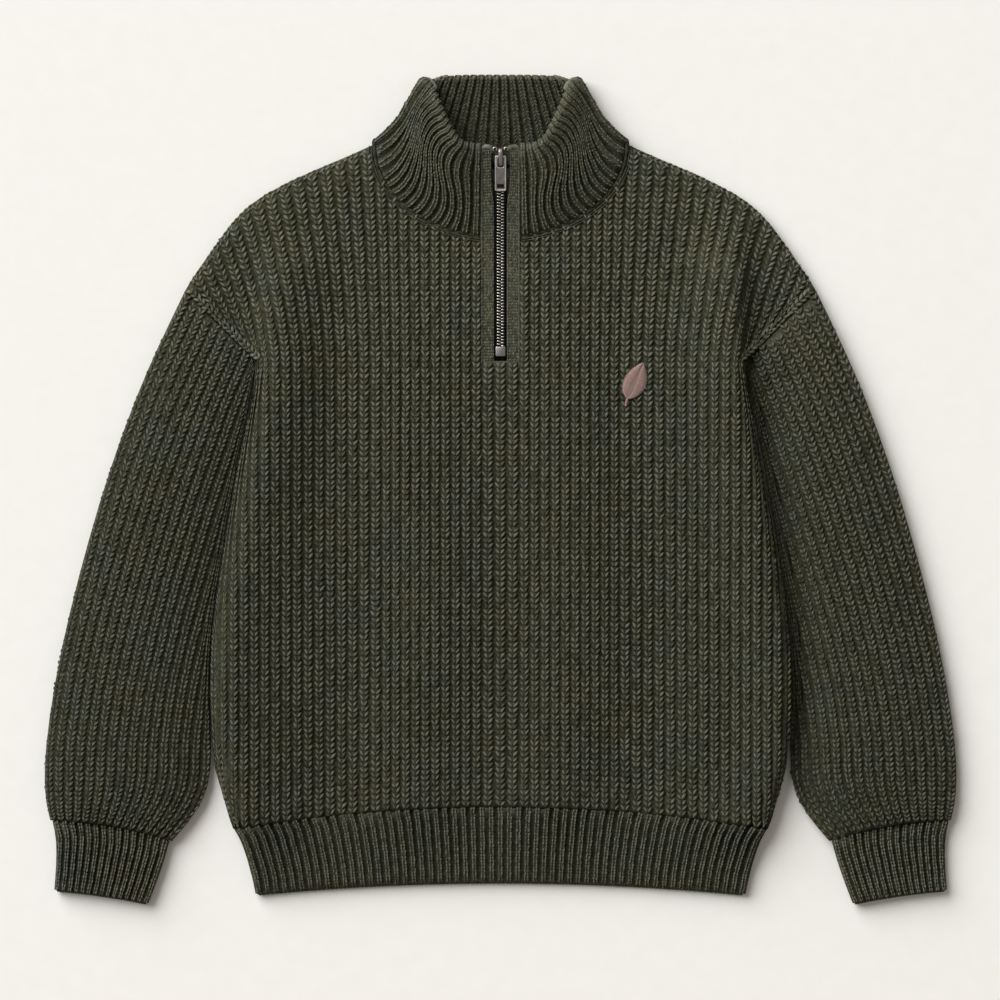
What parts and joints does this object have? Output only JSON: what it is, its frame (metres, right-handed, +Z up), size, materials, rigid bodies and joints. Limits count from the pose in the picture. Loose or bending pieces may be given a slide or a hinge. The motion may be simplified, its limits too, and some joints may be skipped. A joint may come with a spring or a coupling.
{
  "type": "quarter zip sweater",
  "caption": "Chunky rib-knit quarter zip sweater lying flat on its back, with a stand collar, dropped shoulders and ribbed hem and cuffs.",
  "frame": {"origin": "centre of the box's underside, on the surface that the sweater lies on", "axes": "+Y towards the collar, +X towards the wearer's left, +Z up out of the front of the sweater"},
  "size_m": [0.82, 0.7425, 0.0306],
  "materials": {
    "knit": "chunky wool rib knit, dark olive grey heather, matt",
    "band_knit": "close rib knit of the same yarn, matt",
    "placket_knit": "plain fine knit of the same yarn, matt",
    "zip_tape": "woven polyester tape, black",
    "nickel": "antique nickel teeth, satin",
    "gunmetal": "gunmetal, brushed"
  },
  "bodies": {
    "garment": {"front_panel": "knit", "back_panel": "knit", "hem_front": "band_knit", "hem_back": "band_knit", "sleeve_left": "knit", "sleeve_right": "knit", "cuff_left": "band_knit", "cuff_right": "band_knit", "collar": "band_knit", "placket_left": "placket_knit", "placket_right": "placket_knit", "zip_tape_left": "zip_tape", "zip_tape_right": "zip_tape", "zip_chain": "nickel", "zip_bottom_stop": "gunmetal", "zip_slider": "gunmetal"},
    "pull_tab": {"zip_pull_tab": "gunmetal"}
  },
  "joints": [
    {"name": "pull_tab_hinge", "type": "hinge", "parent": "garment", "child": "pull_tab", "pos_m": [0, 0.29895, 0.0269], "axis": [-1, 0, 0], "range_deg": [0, 165]}
  ]
}
